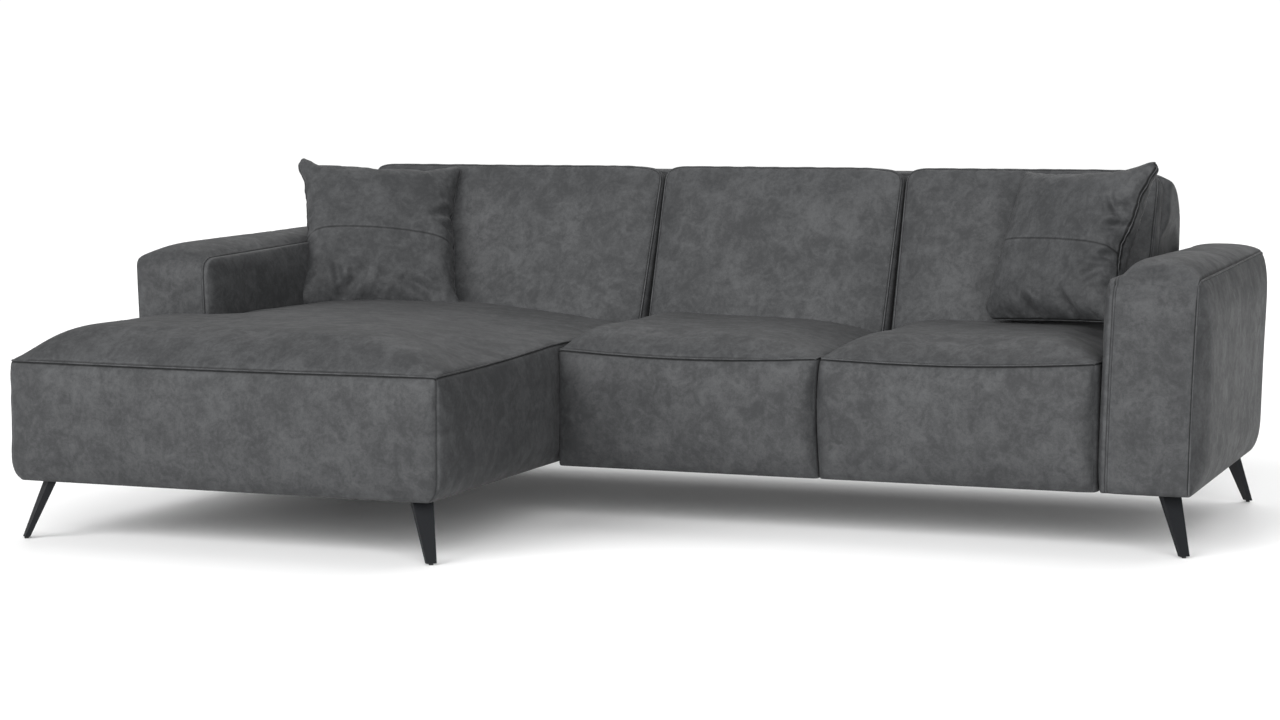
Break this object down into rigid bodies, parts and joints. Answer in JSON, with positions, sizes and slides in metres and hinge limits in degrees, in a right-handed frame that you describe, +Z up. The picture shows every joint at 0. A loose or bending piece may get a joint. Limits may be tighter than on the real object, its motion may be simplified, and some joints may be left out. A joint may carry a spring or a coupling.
{
  "type": "chaise sofa",
  "caption": "Low L-shaped lounge sofa: a long chaise beside a two-place seat, fixed back cushions, padded arms, splayed blade legs and loose throw cushions, in dark grey suede-look leather.",
  "frame": {"origin": "on the floor, under the middle of the whole sofa's outline", "axes": "+X from the chaise side to the other arm, left to right as seen from the front; +Y from the front edge to the back; +Z up"},
  "size_m": [2.659, 1.665, 0.8596],
  "materials": {
    "upholstery": "dark grey suede-look hide, matt, softly mottled",
    "seat_foam": "open-cell foam",
    "frame_timber": "sawn timber and plywood, unfinished",
    "dust_cloth": "thin black non-woven cloth",
    "elastic_webbing": "woven elastic strap",
    "spring_steel": "drawn spring wire",
    "spring_felt": "pressed felt",
    "black_metal": "matt black powder coat",
    "zinc_steel": "zinc plated",
    "black_plastic": "black moulded plastic",
    "cushion_fibre": "loose polyester fibre"
  },
  "bodies": {
    "sofa": {"chaise_cover": "upholstery", "seat_cover_left": "upholstery", "seat_cover_right": "upholstery", "back_cover_left": "upholstery", "back_cover_middle": "upholstery", "back_cover_right": "upholstery", "back_rear_cover_chaise": "upholstery", "back_rear_cover_seats": "upholstery", "arm_cover_left": "upholstery", "arm_cover_right": "upholstery", "chaise_foam": "seat_foam", "seat_foam_left": "seat_foam", "seat_foam_right": "seat_foam", "back_foam_left": "seat_foam", "back_foam_middle": "seat_foam", "back_foam_right": "seat_foam", "arm_pad_left": "seat_foam", "arm_pad_right": "seat_foam", "chaise_base_frame": "frame_timber", "seat_base_frame": "frame_timber", "back_frame_chaise": "frame_timber", "back_frame_seats": "frame_timber", "arm_frame_left": "frame_timber", "arm_frame_right": "frame_timber", "chaise_dust_cover": "dust_cloth", "seat_dust_cover": "dust_cloth", "chaise_webbing": "elastic_webbing", "back_webbing_chaise": "elastic_webbing", "back_webbing_seats": "elastic_webbing", "seat_springs": "spring_steel", "seat_spring_felt": "spring_felt", "leg_chaise_front_left": "black_metal", "leg_chaise_front_right": "black_metal", "leg_chaise_rear_left": "black_metal", "leg_seat_front_right": "black_metal", "leg_seat_rear_right": "black_metal", "leg_screws": "zinc_steel", "coupling_bars": "zinc_steel", "coupling_screws": "zinc_steel", "arm_bolts": "zinc_steel", "foot_glides": "black_plastic"},
    "throw_cushion_left": {"throw_cushion_left_cover": "upholstery", "throw_cushion_left_filling": "cushion_fibre"},
    "throw_cushion_right": {"throw_cushion_right_cover": "upholstery", "throw_cushion_right_filling": "cushion_fibre"}
  },
  "joints": [
    {"name": "lift_cushion_left", "type": "slide", "parent": "sofa", "child": "throw_cushion_left", "axis": [0, 0, 1], "range_m": [0, 0.35]},
    {"name": "lift_cushion_right", "type": "slide", "parent": "sofa", "child": "throw_cushion_right", "axis": [0, 0, 1], "range_m": [0, 0.35]}
  ]
}
